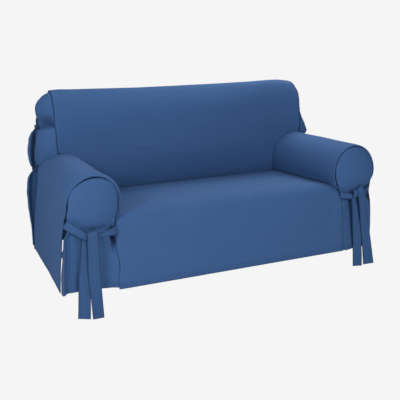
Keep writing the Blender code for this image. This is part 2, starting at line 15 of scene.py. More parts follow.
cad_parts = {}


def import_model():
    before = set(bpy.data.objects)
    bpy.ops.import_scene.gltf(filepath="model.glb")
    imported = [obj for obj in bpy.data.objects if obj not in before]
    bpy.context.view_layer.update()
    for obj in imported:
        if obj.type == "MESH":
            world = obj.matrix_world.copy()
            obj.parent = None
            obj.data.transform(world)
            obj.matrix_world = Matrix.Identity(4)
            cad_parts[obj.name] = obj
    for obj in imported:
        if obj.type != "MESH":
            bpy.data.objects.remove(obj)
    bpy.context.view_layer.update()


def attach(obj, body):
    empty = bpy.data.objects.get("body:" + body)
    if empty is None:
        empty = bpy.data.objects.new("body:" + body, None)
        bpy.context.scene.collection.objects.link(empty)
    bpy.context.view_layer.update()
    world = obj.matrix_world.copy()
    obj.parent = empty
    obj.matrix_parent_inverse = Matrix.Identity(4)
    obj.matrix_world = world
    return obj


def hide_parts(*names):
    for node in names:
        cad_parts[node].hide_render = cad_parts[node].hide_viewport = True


# ---- sizes, as in the solids
ORIGIN = (0.0, 0.414, -0.036)
CLOTH = 0.002
SEAM = 0.004
HEM = 100  # height of the hems, in millimetres
HEM_Z = HEM / 1000

LEFT, RIGHT = -1, 1


def sided(left, right):
    return {LEFT: left, RIGHT: right}


SIDE_NAMES = sided("left", "right")

ARM_X, ARM_Z = 0.697, 0.505  # middle of each arm roll
ROLL_X = 0.123  # half its width
ROLL_Z = sided(0.131, 0.142)  # half its height
RIM = 0.009  # the round end piece lies this far inside the roll

BACK_HALF = sided(0.727, 0.761)  # from the middle to each end of the inside back
TOP_INSET = 0.005  # from those ends to the end gussets
CORNER_IN = sided(0.0, 0.012)  # how far each end draws in at the ridge
ROLL_REAR = sided(0.0, 0.02)  # how much each roll widens towards its rear
FRONT_EDGE_Y = 0.004  # front edge of the arm panels
SIDE_REAR_Y = 0.805  # rear edge of the side drops
REAR_EDGE_LEAN = 0.02  # how far back it runs for each metre down
BACK_Y = 0.872  # the outside back
TUCK_BEHIND_ARM = 0.012  # the inside back runs on behind the end of the arm roll
LOWEST_TUCK = 0.92  # and stops narrowing at this share of the roll's depth
CROWN = 0.014  # swell of the inside back's middle
CAP_CORNER = 38  # degrees above the middle where an arm front's top edge meets its sides
FRONT_SWELL = 0.6  # share of a row's crown that the front drop swells forward
DROP_BOW = (0.013, 0.205, 0.055)  # the front drop's left edge bows inwards: size, z and reach
DOME = 0.024  # swell of each round end piece
FRONT_GAP = 0.003  # from its rim back to the seam
FRONT_HANG = 0.01  # how far forward the arm front hangs at its hem
BACK_SAG = 0.006  # how far back the outside back's middle hangs
BACK_TOP_IN = 0.015  # how far forward its top edge lies
BACK_HEM_DIP = 0.012  # how far its hem drops at the left corner
BACK_DIP_FROM_Z = 0.4  # from this height down
GUSSET_INSET = 0.01  # the end gussets stand this far inside the roll
GUSSET_REAR_GAP = 0.014  # and their top edge this much further in at the rear
GUSSET_LAST_TURN = 158  # where their foot ends, in degrees round the roll
SWEEP_FROM_TURN = 1.5  # past the foot's start, where the arm's rear edge starts to sweep back
SWEEP_TO_TURN = 172  # where it ends
GUSSET_LIFT = 0.008  # from the arm panel back to their foot
SEAT_LAP = 0.002  # from the seam with the seat up to the inner arm's edge
ROW_GAP = 0.008  # and at least this much more to its next rows

# Where one shape passes smoothly into the next.
SEAT_TURNS_DOWN = (-0.01, 0.06)  # y
CROWN_STARTS = (0.44, 0.6)  # z
CROWN_ENDS = (0.84, 0.95)  # z
CORNER_TURNS_IN = (0.885, 0.955)  # z
BACK_TOP = (0.8, 0.868)  # z
ARM_WIDENS = (0.0, 0.45)  # y
HANG = (-0.03, 0.28)  # below the round end piece
GATHERED = (-0.005, 0.05)  # below the round end piece

# In degrees round the arm roll from its inner side (0) over the top (90) to its outer side.
BESIDE_FROM = -56  # the inside back starts to follow the roll here
ROLL_FROM = -40  # the arm panel starts here, at the seam with the seat
ABOVE_ARM_Z = 0.639  # the inside back is free of the roll from this height


# ---- tables, as in the solids
# Their numbers are millimetres or thousandths of a share, and degrees for angles.
def rows(fields, *values):
    """A table whose rows have these fields, in metres and shares of 1."""
    kind = namedtuple("Row", fields)
    return [kind(*(value / 1000 for value in row)) for row in values]


def sided_rows(fields, left, right):
    return sided(rows(fields, *left), rows(fields, *right))


# The seat and front drop from the crease to the hem: half is half the panel's width, crown how far
# a row's middle stands above its ends.
SEAT_RUN = rows(
    "y z half crown",
    (684, 408, 626, 0), (600, 411, 622, 8), (460, 415, 616, 16), (300, 420, 608, 21),
    (160, 426, 603, 22), (70, 430, 600, 20), (22, 420, 599, 16), (-4, 388, 599, 8),
    (-12, 340, 604, 4), (-22, 250, 609, 2), (-34, 170, 611, 0), (-45, HEM - 5, 611, 0),
)

# The inside back from under the crease, over the rounded top, to the seam behind it.
BACK_RUN = rows(
    "y z",
    (712, 388), (694, 412), (671, 460), (655, 555), (649, 660), (651, 760), (661, 845), (684, 905),
    (716, 944), (758, 960), (802, 951), (838, 924), (860, 886), (867, 862),
)
TOP_STATION = 9  # the row of BACK_RUN at the ridge

# Side edges of the outside back, which the corner ties draw in.
BACK_EDGE = rows(
    "z left right",
    (868, 730, 757), (850, 766, 776), (825, 784, 790), (785, 795, 798), (757, 797, 800),
    (730, 824, 822), (670, 846, 838), (603, 852, 846), (550, 842, 842), (524, 828, 828),
    (498, 853, 848), (420, 874, 862), (320, 876, 867), (200, 869, 868), (HEM, 871, 870),
)

# How far the outer side drops hang outside ARM_X, at their front edge and at their rear.
SIDE_DROP = sided_rows("z front rear", [
    (505, 123, 123), (450, 130, 128), (380, 142, 138), (300, 152, 150), (200, 166, 163),
    (HEM, 175, 171),
], [
    (505, 123, 143), (450, 114, 146), (405, 99, 149), (330, 108, 153), (200, 114, 160),
    (HEM, 112, 166),
])

# How far the hems of both side drops lie above HEM_Z, from front to rear.
SIDE_HEM = rows("y lift", (0, 6), (250, 2), (530, -8), (820, -18))

# Outline of each arm front below the middle of its round end, as distances from ARM_X.
FRONT_OUTLINE = sided_rows("z outer inner", [
    (505, 113.5, 113.5), (460, 112.5, 109), (420, 112, 99), (385, 123, 93), (345, 136, 94),
    (295, 141, 97), (240, 149, 102), (170, 159, 108), (HEM, 162, 106),
], [
    (505, 113.5, 113.5), (460, 103, 108), (405, 80, 90), (360, 84, 86), (295, 98, 84),
    (210, 100, 84), (HEM - 10, 98, 82),
])

# Gathers of the drop under the tie: place across the hem from the outer edge (0) to the inner (1),
# depth forwards, and width as a share of the hem. The left's last two are not in the solids.
GATHERS = sided_rows("place forward width", [
    (45, 14, 30), (115, -10, 40), (195, -2, 35), (270, -10, 45), (420, 6, 60), (540, -6, 50),
    (670, -6, 45), (850, 4, 70), (45, 6, 30), (190, -10, 80),
], [
    (100, 7, 60), (260, -7, 60), (420, 5, 60), (600, -5, 50), (760, -3, 60), (900, 3, 50),
])

# How the ridge sags along the cover.
RIDGE = rows("x lift", (-727, 3), (-500, -1), (-250, -6), (400, -8), (680, -7), (761, -16))

# Rear edge of the end gussets: distance from the middle at either side, and how far back.
GUSSET_REAR = rows(
    "z left right y",
    (862, 727, 758, 849), (845, 756, 772, 851), (820, 774, 782, 853), (785, 784, 788, 853),
    (757, 780, 784, 850), (730, 794, 796, 843), (700, 804, 808, 838), (650, 819, 822, 828),
    (600, 825, 828, 817), (545, 820, 826, 806),
)

# How far each end gusset puffs out: place 0 at its foot, 1 at the crease under the upper corner
# tie, 2 at the ridge.
PINCH_Z = sided(0.764, 0.795)  # at the front seam
PINCH_REAR_Z = 0.757  # at the rear edge
PUFF = rows(
    "place left right",
    (0, 0, 0), (50, 4, 8), (140, 12, 40), (360, 28, 44), (620, 36, 30), (820, 38, 20),
    (930, 30, 12), (980, 12, 4), (1030, -22, -6), (1120, -20, -2), (1250, 2, 10), (1420, 34, 22),
    (1620, 48, 30), (1800, 50, 30), (1910, 42, 24), (1970, 28, 14), (2000, 0, 0),
)

# Ties are flat straps. Their stations are the middle of the strap (x, y, z), half its width, and
# the way its face looks: -90 to the front, 90 to the back, 180 to the left. A strip that starts
# with 1 is level: it turns over the knot with its width along X.
TIE_STRIPS = {
    "arm_tie_left_outer": [(0, [
        (-828, -2, 424, 21, -104), (-812, -20, 411, 20, -98), (-790, -31, 395, 18.5, -92),
        (-766, -36, 377, 17, -90), (-742, -38, 361, 15.5, -88), (-716, -36, 353, 14, -86),
    ]), (0, [
        (-744, -28, 382, 12, -90), (-750, -30, 362, 12.5, -92), (-753.5, -32, 340, 12.5, -94),
        (-757, -35, 300, 15, -94), (-762.5, -36, 235, 19, -93), (-769, -36, 150, 25, -98),
        (-773, -36, 70, 27.5, -105), (-780, -38, -20, 29, -112),
    ])],
    "arm_tie_left_inner": [(0, [
        (-600, -19, 372, 21.5, -80), (-622, -30, 369, 18, -84), (-650, -37, 366, 14, -88),
        (-678, -41, 361, 12.5, -90), (-706, -42, 357, 12, -92), (-730, -40, 356, 12, -94),
    ]), (1, [
        (-717, -30, 352, 22, -90), (-717.2, -29, 368, 23, -90), (-717.5, -34, 379, 23.5, -90),
        (-718, -42, 383.5, 24, -90), (-718.2, -50, 380, 24.2, -90), (-718.5, -53.5, 370, 24.5, -90),
        (-719, -52.5, 345, 26, -90), (-720, -50, 300, 26.5, -90), (-722.5, -48, 190, 28, -96),
        (-720, -46.5, 90, 27, -104), (-716.5, -45, -27, 26.2, -110),
    ])],
    "arm_tie_right_inner": [(0, [
        (598, -18, 394, 16.5, -96), (612, -30, 391, 16, -92), (634, -37, 387, 15, -90),
        (658, -42, 385, 14, -90), (682, -44, 387, 12.5, -90),
    ]), (0, [
        (667, -36, 392, 11, -90), (669, -38, 372, 12.5, -90), (672, -42, 340, 15, -90),
        (680, -43, 280, 19.5, -90), (689, -42, 210, 22.5, -98), (697.5, -40, 130, 24, -106),
        (705.5, -38, -7, 24.5, -113),
    ])],
    "arm_tie_right_outer": [(0, [
        (780, -6, 416, 14.5, -66), (764, -26, 412, 14, -74), (742, -40, 405, 14, -82),
        (716, -47, 399, 14, -88), (690, -48, 396, 13.5, -90),
    ]), (1, [
        (669, -33, 388, 12.5, -90), (669, -34, 404, 13, -90), (669, -41, 414, 13.5, -90),
        (669, -50, 416, 14, -90), (669, -56.5, 409, 14, -90), (669, -57.5, 398, 14, -90),
        (669, -54, 386, 13.5, -90), (669, -47, 378, 12.5, -90),
    ]), (0, [
        (694, -40, 424, 15, -90), (699, -52, 418, 18.5, -90), (704, -56, 400, 21, -90),
        (710, -55, 370, 21, -90), (718.5, -53, 318, 21.5, -89), (732, -51, 230, 23, -96),
        (748, -50, 140, 25, -104), (770, -48, -2, 28, -112),
    ])],
}

# A corner tie runs from the rear edge of the side round the edge of the outside back to its knot,
# and hangs there: the reach outwards from that edge, y, the drop, half the width and the face.
CORNER_TIE = [
    (7, 858, 0, 6, 175), (10, 872, 0, 6, 160), (3, 886, -1, 8, 115), (-30, 890, -8, 11, 90),
    (-46, 890, -40, 12, 90), (-50, 889, -100, 18, 90), (-52, 888, -180, 19, 90),
]
# Height of each corner tie, and its first station, where it is sewn on.
CORNER_TIE_AT = {"upper": (764, (-7, 842, 0, 6, 180)), "lower": (526, (2, 818, 0, 6, 180))}

# ---- detail of the cloth
BLUE = (0.0405, 0.0925, 0.217)
# The ties are the same duck as BLUE, made about 8% darker: painted shade.
SHADED_TIE_BLUE = (0.0375, 0.085, 0.199)
THREAD = 0.0011

CELL, SMALL_CELL, FINE_CELL = 0.0085, 0.0065, 0.004  # spacing of the grids' lines
# Where the lines nearest an edge lie, measured from it.
SEAM_STEPS = (0, 0.0015, 0.003, 0.005, 0.008, 0.012, 0.017)
HEM_STEPS = (0, 0.002, 0.01, 0.018, 0.0225, 0.0245, 0.0265, 0.03)
FREE_STEPS = (0, 0.002, 0.006, 0.012)
FLAP_STEPS = (0, 0.002, 0.006, 0.011, 0.016, 0.021, 0.026, 0.031, 0.036, 0.042, 0.049, 0.057)
RETURN_STEPS = (0, 0.002, 0.004, 0.007, 0.01, 0.012, 0.014, 0.017, 0.021)
STRAP_PLACES = (-1, -0.94, -0.8, -0.55, -0.28, 0, 0.28, 0.55, 0.8, 0.94, 1)  # across a tie
BACK_ACROSS = 1.72  # width of the outside back
BEHIND_RIM = 0.66  # length of the roll behind its rim

SEAM_ROLL = 0.0046  # how deep a seam draws the cloth in
SEAM_WIDTH = 0.0055
SEAM_PUCKER = 0.0011
PUCKER_SIZE = 0.021
PUCKER_IN = 0.012  # from the seam
PUCKER_WIDTH = 0.014
HEM_BAND = 0.0245
HEM_EXTRA = 0.0012  # its extra thickness
HEM_ROPE = 0.0007  # and unevenness
ROPE_SIZE = 0.03
STITCHED_IN = (0.0009, HEM_BAND, 0.0022)  # its stitches lie in a groove
HEM_STITCHED = HEM_BAND - 0.002  # from the edge
TIE_STITCHED = 0.0035
STITCH = 0.0044
STITCH_SHARE = 0.72  # of it is thread
BANDS_PER_THREAD = 0.314  # scale of the wave texture for threads a metre wide
TIE_CLOTH = 0.0022
TIE_THINNER = (0.0006, 0.003, 0.0015)  # along its edges
TIE_TROUGH = 0.0008
TIE_WAVE = 0.0014

# Bulges are (size, middle, reach).
NECK = (0.01, 0.012, 0.016)  # the arm front draws in below the round end piece
GAPE = sided((0.005, 92, 34), (0.006, 62, 34))  # and its seam gapes, in degrees round it
REAR_TUCK = 0.007  # how far the arm panel's rear edge rolls in
REAR_TUCK_REACH = 0.011
REAR_MEETS = 0.0005  # how far past the inside back's face that edge ends
DISC_DROP = sided(0.012, 0.003)  # how far the top of each round end lies under its seam
DISC_LEAN = sided(0.012, 0.0)  # and how much further on the outer side
DISC_IN = sided(RIM, 0.0052)  # how far inside the roll its outer side lies
DISC_IN_INNER = sided(0.004, 0.0052)  # and its inner side
RIM_OUT = sided(0.1, 0.25)  # how far the rims flare, as shares of RIM_PROFILE
RIM_OUT_INNER = sided(1.8, 0.25)  # and on the inner side
LIP_INNER = 0.4  # what is left there of the rim's turned-in lip
RIM_TAPER = 0.09  # behind the seam, where the roll has its full height again
FRONT_RETURN = 0.012  # the arm front's outer edge turns back by this
RETURN_BLEND = 0.05
RETURN_OUT = sided(0.007, 0.0)  # and bulges by this
GATHER_MORE = sided(1.0, 0.7)  # share of GATHERS
# The end piece stands out above the outer strap.
ABOVE_TIE = sided((0.011, 0.44, 0.035), (0.003, 0.44, 0.035))
FORWARD_FROM = sided(0.8, 0.4)  # where the arm front starts to lie out to the drop
SLIT_STARTS = (0.1, 0.14)  # below the arm's middle
SLIT_SHADE = 0.5
SEAM_SOFT = sided(0.0, 0.008)  # fainter painted shade at the end piece's inner seam
# Fainter painted seam shade all over the seat and front drop.
DROP_EDGE_SOFT = 0.003
CREASE_DIP = (0.012, 0, 0.013)  # the seat dips where it goes under the back
DROP_WIDER = (0.016, 0.35, 0.1)  # the front drop's right edge bows out below the arm
DROP_CLEAR = sided(0.008, 0.012)  # from the front drop's edge to the arm front behind it
LAP = sided(0.0, 0.018)  # how far the arm front runs on behind that edge
LAP_LIFT = 0.7  # how far its hem rises there, for each metre of lap
FLAP_LEAN = 0.35  # how far the outside back's turned edges lean in, for each metre forwards

# The roll's front edge from its turned-in end round the rim, and how far inside the roll it lies.
RIM_PROFILE = rows(
    "y inset",
    (16, 6.4), (9, 6.2), (3, 5.6), (-0.5, 4.8), (-2, 3), (-1.2, 0.8), (2, -1.8), (7, -4.2),
    (14, -6), (22, -7), (31, -7), (42, -5.5), (56, -3), (72, -1.2), (90, 0),
)

# How far the side edges of the outside back turn forwards.
FLAP_TURN = rows(
    "z depth",
    (868, 0), (800, 0), (757, 2), (725, 24), (670, 34), (600, 34), (556, 22), (524, 2), (494, 18),
    (420, 26), (320, 22), (200, 14), (HEM, 10),
)

# Hollows of the arm fronts beside the ties.
HOLLOWS = sided_rows("place width z height depth", [
    (935, 45, 330, 34, 90), (350, 60, 330, 40, 8),
], [
    (620, 80, 345, 40, 10),
])
# Where the turned-back edge of an arm front reaches out to the side drop.
EDGE_NICKS = sided_rows("z height out", [(284, 16, 11)], [])

# Folds run from (u0, v0) to (u1, v1), as shares across and down a panel, bent aside by bend.
FOLD = "u0 v0 u1 v1 bend width depth"
SEAT_FOLDS = rows(
    FOLD,
    (20, 620, 200, 500, 10, 30, 2), (985, 660, 800, 560, -10, 35, 2.2),
    (985, 720, 900, 950, 8, 30, -1.8), (20, 750, 50, 1000, 4, 20, -1.2),
    (975, 720, 970, 1000, -4, 16, 1), (300, 620, 320, 1000, 10, 60, 2.2),
    (620, 640, 600, 1000, -12, 70, -2.2),
)
BACK_FOLDS = rows(
    FOLD,
    (20, 100, 200, 550, 20, 50, 2.2), (350, 150, 300, 850, 30, 90, -2.2),
    (970, 120, 800, 550, -20, 50, 2.2), (550, 200, 620, 800, 30, 100, 2.2),
)
REAR_FOLDS = rows(
    FOLD,
    (20, 150, 300, 100, 10, 30, 3.5), (20, 440, 280, 360, 15, 40, 4),
    (980, 150, 700, 120, -10, 30, 3.5), (980, 440, 720, 380, -15, 40, 4),
    (100, 550, 120, 1000, 10, 45, -4.5), (240, 500, 230, 1000, -10, 60, 4.5),
    (420, 300, 440, 1000, 12, 70, -4), (600, 350, 580, 1000, 12, 65, 4.5),
    (780, 500, 790, 1000, -10, 60, -4.5), (900, 550, 890, 1000, 8, 45, 4),
)
ARM_FOLDS = sided_rows(FOLD, [
    (40, 600, 300, 500, 10, 22, 2.2), (30, 640, 200, 850, 10, 25, 2.4),
    (940, 550, 750, 600, 8, 22, 2), (930, 620, 800, 950, 10, 30, -2.2),
    (500, 680, 540, 1000, 10, 50, 3), (300, 700, 280, 1000, -10, 45, -2.6),
], [
    (40, 600, 280, 520, 10, 22, 2.2), (30, 660, 220, 880, 10, 30, 3),
    (940, 550, 750, 600, 8, 22, 2.2), (600, 680, 580, 1000, 10, 50, 3.4),
    (380, 660, 420, 1000, -10, 45, -3),
])
FRONT_FOLDS = sided_rows(FOLD, [
    (100, 540, 220, 400, 0, 8, -2), (300, 530, 340, 420, 0, 7, -2.2),
    (550, 530, 520, 420, 0, 8, -1.8), (800, 530, 700, 410, 0, 8, -2),
], [
    (200, 540, 300, 420, 0, 8, -2), (480, 530, 500, 430, 0, 7, -1.8),
    (800, 530, 700, 420, 0, 8, -2.2),
])
GUSSET_FOLDS = sided_rows(FOLD, [
    (250, 460, 50, 400, 0, 8, 1.8), (550, 550, 400, 720, 4, 12, 2.4),
    (750, 550, 800, 750, 4, 12, -2.2), (300, 980, 340, 860, 0, 8, -2.4),
    (600, 980, 620, 860, 0, 8, -2.4),
], [
    (250, 460, 100, 380, 0, 8, 1.6), (550, 550, 450, 720, 4, 12, 2.2),
    (800, 550, 780, 800, 4, 12, -2),
])

# ---- camera, light and floor
SENSOR_WIDTH = 36.0
IMAGE_PIXELS = 400
FOCAL_PIXELS = 626.24
CAMERA_TURN = (-22.17, 13.53, -1.72)
CAMERA_AT = (-1.2755, -3.0952, 1.1883)
PALE = (0.913, 0.913, 0.913, 1.0)
SKY = (0.93, 0.96, 1.0, 1.0)
SKY_STRENGTH = 0.08
FLOOR_COLOUR = (0.82, 0.82, 0.82, 1.0)
FLOOR_REACH = 6.0
FLOOR_Z = -0.002

LAMPS = [
    ("front_light", (-0.3, -4.2, 1.6), (0, 0, 0.5), 2.4, 91),
    ("top_light", (0, -0.3, 3), (0, 0, 0.4), 2, 22),
    ("left_light", (-2.3, -1.6, 1.8), (-0.5, 0, 0.5), 0.8, 28),
    ("side_light", (-3.2, 0.2, 1.4), (0, 0, 0.5), 1.6, 19),
    ("rear_right_light", (1.4, 1.2, 2.6), (0.2, 0, 0.5), 1.5, 59),
]


# ---- curves and lookups
def hermite(keys, values, at):
    """Smooth curve through values at rising keys, read at each of at; values may have columns."""
    at = np.clip(at, keys[0], keys[-1])
    slope = np.gradient(values, keys, axis=0)
    i = np.clip(np.searchsorted(keys, at, side="right") - 1, 0, len(keys) - 2)
    span = keys[i + 1] - keys[i]
    s = (at - keys[i]) / span
    if values.ndim == 2:
        s, span = s[..., None], span[..., None]
    s2, s3 = s * s, s * s * s
    return (
        (2 * s3 - 3 * s2 + 1) * values[i]
        + (s3 - 2 * s2 + s) * span * slope[i]
        + (3 * s2 - 2 * s3) * values[i + 1]
        + (s3 - s2) * span * slope[i + 1]
    )


def column(table, name):
    return np.array([getattr(row, name) for row in table])


def look_up(table, name, at, key="z"):
    """A column of a table, read smoothly where its key column has the values at."""
    order = np.argsort(column(table, key))
    return hermite(column(table, key)[order], column(table, name)[order], at)


def chord_keys(line):
    """Distance along a row of points, as keys for hermite."""
    return np.concatenate([[0.0], np.cumsum(np.linalg.norm(np.diff(line, axis=0), axis=1))])


def points(*axes):
    """Points from their coordinates, which are spread to one shape."""
    return np.stack(np.broadcast_arrays(*axes), axis=-1)


def ease(value, low, high):
    t = np.clip((value - low) / (high - low), 0.0, 1.0)
    return t * t * (3 - 2 * t)


def bell(value, width):
    return np.exp(-((value / width) ** 2))


def bulge(value, size, middle, reach):
    return size * bell(value - middle, reach)


BACK_POINTS = np.array(BACK_RUN)
BACK_KEYS = chord_keys(BACK_POINTS)
TOP_KEY = BACK_KEYS[TOP_STATION]


def on_back(keys):
    return hermite(BACK_KEYS, BACK_POINTS, keys)


RISE_KEYS = np.linspace(0, TOP_KEY, 200)
RISE = on_back(RISE_KEYS)


def back_face_y(z):
    return np.interp(z, RISE[:, 1], RISE[:, 0])


def back_face_key(z):
    return np.interp(z, RISE[:, 1], RISE_KEYS)


def under_back(keys, gap):
    """Points along the inside back's profile, as (y, z), moved by gap to its underside."""
    step = 0.001
    along = on_back(keys + step) - on_back(keys - step)
    along /= np.linalg.norm(along, axis=1)[:, None]
    inward = points(along[:, 1], -along[:, 0])
    return on_back(keys) + gap[:, None] * inward


def back_end(side, z):
    """How far the end of the inside back lies from the middle at height z."""
    return BACK_HALF[side] - CORNER_IN[side] * ease(z, *CORNER_TURNS_IN)


def settle(grid):
    lift = look_up(RIDGE, "lift", grid[..., 0], "x")
    grid[..., 2] += lift * ease(grid[..., 2], *CROWN_ENDS)
    return grid


def seat_z(y):
    return np.interp(y, column(SEAT_RUN, "y")[6::-1], column(SEAT_RUN, "z")[6::-1])


def front_drop_y(z):
    return np.interp(z, column(SEAT_RUN, "z")[:5:-1], column(SEAT_RUN, "y")[:5:-1])


def stations(length, cell, start=SEAM_STEPS, end=SEAM_STEPS):
    """Shares along an edge at cell spacing, closer together near either end as the steps say."""
    first, last = max(start), length - max(end)
    count = max(int(round((last - first) / cell)), 2)
    places = list(start[:-1]) + list(np.linspace(first, last, count + 1))
    places += [length - step for step in end[:-1][::-1]]
    return np.array(places) / length


# ---- unevenness of the cloth
def wander(across, down, size, seed):
    """Smooth noise between -1 and 1 over a panel, with lumps of about size metres."""
    lattice = np.random.default_rng(seed).uniform(-1, 1, (96, 96))
    a, d = across / size + 7.3, down / size + 5.1
    i, j = np.floor(a).astype(int), np.floor(d).astype(int)
    f, g = (t * t * t * (t * (t * 6 - 15) + 10) for t in (a - i, d - j))
    i, j = i % 95, j % 95
    low = lattice[i, j] * (1 - f) + lattice[i + 1, j] * f
    high = lattice[i, j + 1] * (1 - f) + lattice[i + 1, j + 1] * f
    return low * (1 - g) + high * g


def fold_height(folds, u, v, across, down):
    """Sum of soft ridges and troughs, each along a bent line from (u0, v0) to (u1, v1)."""
    total = np.zeros_like(across)
    wide, long = across.max(), down.max()
    for fold in folds:
        start = np.array((fold.u0 * wide, fold.v0 * long))
        along = np.array((fold.u1 * wide, fold.v1 * long)) - start
        reach = np.linalg.norm(along)
        along /= reach
        x, y = u * wide - start[0], v * long - start[1]
        t = (x * along[0] + y * along[1]) / reach
        on = np.clip(t, 0, 1)
        off = y * along[0] - x * along[1] - fold.bend * 4 * on * (1 - on)
        ends = ease(t, -0.1, 0.22) * (1 - ease(t, 0.72, 1.1))
        off = off / (fold.width * (0.65 + 0.35 * on))
        total += fold.depth * ends * np.exp(-(off**2)) * (1 + 0.25 * np.tanh(2 * off))
    return total


# ---- sheets
def row_lengths(grid, axis):
    """Distance along the cloth from the start of each row or column."""
    steps = np.linalg.norm(np.diff(grid, axis=axis), axis=-1)
    first = np.zeros_like(np.take(steps, [0], axis=axis))
    return np.concatenate([first, np.cumsum(steps, axis=axis)], axis=axis)


def normals_of(grid, outward):
    normal = np.cross(np.gradient(grid, axis=1), np.gradient(grid, axis=0)) * outward
    return normal / np.maximum(np.linalg.norm(normal, axis=-1, keepdims=True), 1e-12)


def edge_distances(grid):
    across, down = row_lengths(grid, 1), row_lengths(grid, 0)
    right, bottom = across[:, -1:] - across, down[-1:] - down
    return {"left": across, "right": right, "top": down, "bottom": bottom}


def sew(grid, outward, kinds, folds, lumps, seed):
    """Finishes a panel with edges of these kinds, at its top, bottom, left and right.

    Seams roll in and pucker, and hems are a thicker band. Returns the points, how thick the cloth
    is at each, and how near each is to the seams and hems.
    """
    gaps = edge_distances(grid)
    across, down = gaps["left"], gaps["top"]
    u = across / np.maximum(across[:, -1:], 1e-9)
    v = down / np.maximum(down[-1:], 1e-9)
    height = fold_height(folds, u, v, across, down)
    calm = np.ones_like(height)
    thick = np.full_like(height, CLOTH)
    edges = dict(zip(("top", "bottom", "left", "right"), kinds))
    for number, (name, kind) in enumerate(edges.items()):
        gap = gaps[name]
        run = down if name in ("left", "right") else across
        if kind == "seam":
            pucker = wander(run, 0 * run, PUCKER_SIZE, seed + 40 + number)
            height -= SEAM_ROLL * bell(gap, SEAM_WIDTH)
            height += SEAM_PUCKER * pucker * bell(gap - PUCKER_IN, PUCKER_WIDTH)
        if kind == "hem":
            rope = wander(run - 0.7 * gap, gap, ROPE_SIZE, seed + 60 + number)
            thick += HEM_EXTRA * (1 - ease(gap, HEM_BAND - 0.0015, HEM_BAND + 0.001))
            height -= bulge(gap, *STITCHED_IN)
            height += HEM_ROPE * rope * bell(gap - 0.5 * HEM_BAND, HEM_BAND)
        if kind in ("seam", "tuck"):
            calm *= ease(gap, -0.01, 0.06)
    for number, (size, depth) in enumerate(lumps, 1):
        height += depth * wander(across, down, size, seed + number) * calm
    return grid + normals_of(grid, outward) * height[..., None], thick, edge_marks(gaps, edges)


def edge_marks(gaps, edges):
    """Distance of each point from the nearest seam and the nearest hem, and its place along it."""
    far = np.ones_like(gaps["top"])
    seam, hem, run = far, far, 0 * far
    for name, kind in edges.items():
        gap = gaps[name]
        if kind in ("hem", "free"):
            along = gaps["top"] if name in ("left", "right") else gaps["left"]
            run = np.where(gap < hem, along, run)
            hem = np.minimum(hem, gap)
        else:
            seam = np.minimum(seam, gap)
    return {"seam": seam, "hem": hem, "run": run}


def new_object(name, data):
    made = bpy.data.objects.new(name, data)
    bpy.context.scene.collection.objects.link(made)
    return made


def cloth_mesh(name, grid, outward, thick, marks, shader):
    """A closed sheet: the visible layer, the layer behind it and the cut edge round both."""
    half = normals_of(grid, outward) * thick[..., None] / 2
    layers = np.concatenate([(grid + half).reshape(-1, 3), (grid - half).reshape(-1, 3)])
    count = thick.size
    index = np.arange(count).reshape(thick.shape)
    quads = np.stack([index[:-1, :-1], index[1:, :-1], index[1:, 1:], index[:-1, 1:]], axis=-1)
    quads = quads.reshape(-1, 4)
    ring = np.concatenate([index[0, :-1], index[:-1, -1], index[-1, :0:-1], index[:0:-1, 0]])
    after = np.roll(ring, -1)
    rim = points(ring, after, after + count, ring + count)
    faces = np.concatenate([quads, quads[:, ::-1] + count, rim])
    if outward > 0:
        faces = faces[:, ::-1]
    mesh = bpy.data.meshes.new(name)
    mesh.from_pydata(layers - ORIGIN, [], faces)
    gaps = edge_distances(grid)
    flat = points(gaps["left"], -gaps["top"]).reshape(-1, 2)
    flat = np.concatenate([flat, flat])[faces.ravel()]
    weave = mesh.uv_layers.new(name="Weave")
    weave.data.foreach_set("uv", flat.astype(np.float32).ravel())
    for mark, values in marks.items():
        kept = mesh.attributes.new(mark, "FLOAT", "POINT")
        kept.data.foreach_set("value", np.concatenate([values.ravel()] * 2).astype(np.float32))
    mesh.shade_smooth()
    mesh.materials.append(shader)
    return new_object(name, mesh)


def place(piece, node, slot):
    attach(piece, "root")
    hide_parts(node)
    return piece


def panel(node, outward, sewn, shader):
    grid, thick, marks = sewn
    piece = cloth_mesh(node + "_cloth", grid, outward, thick, marks, shader)
    return place(piece, node, "cloth")


def coons(bottom, top, start, end, rise):
    """Fills a four-sided outline: bottom and top run across, start and end run up by rise."""
    u = np.linspace(0, 1, len(bottom))[None, :, None]
    v = np.asarray(rise)[:, None, None]
    across = (1 - v) * bottom[None] + v * top[None]
    up = (1 - u) * start[:, None] + u * end[:, None]
    low = (1 - u) * (1 - v) * bottom[0] + u * (1 - v) * bottom[-1]
    return across + up - (low + (1 - u) * v * top[0] + u * v * top[-1])


def turn_edge(gap, depth, blend):
    """A sheet whose last part, depth long, turns off at its edge: (outwards, off) at each gap."""
    outwards = np.where(gap < depth, gap, depth * (1 - ease(gap, depth, depth + blend)))
    return outwards, np.clip(depth - gap, 0, None)


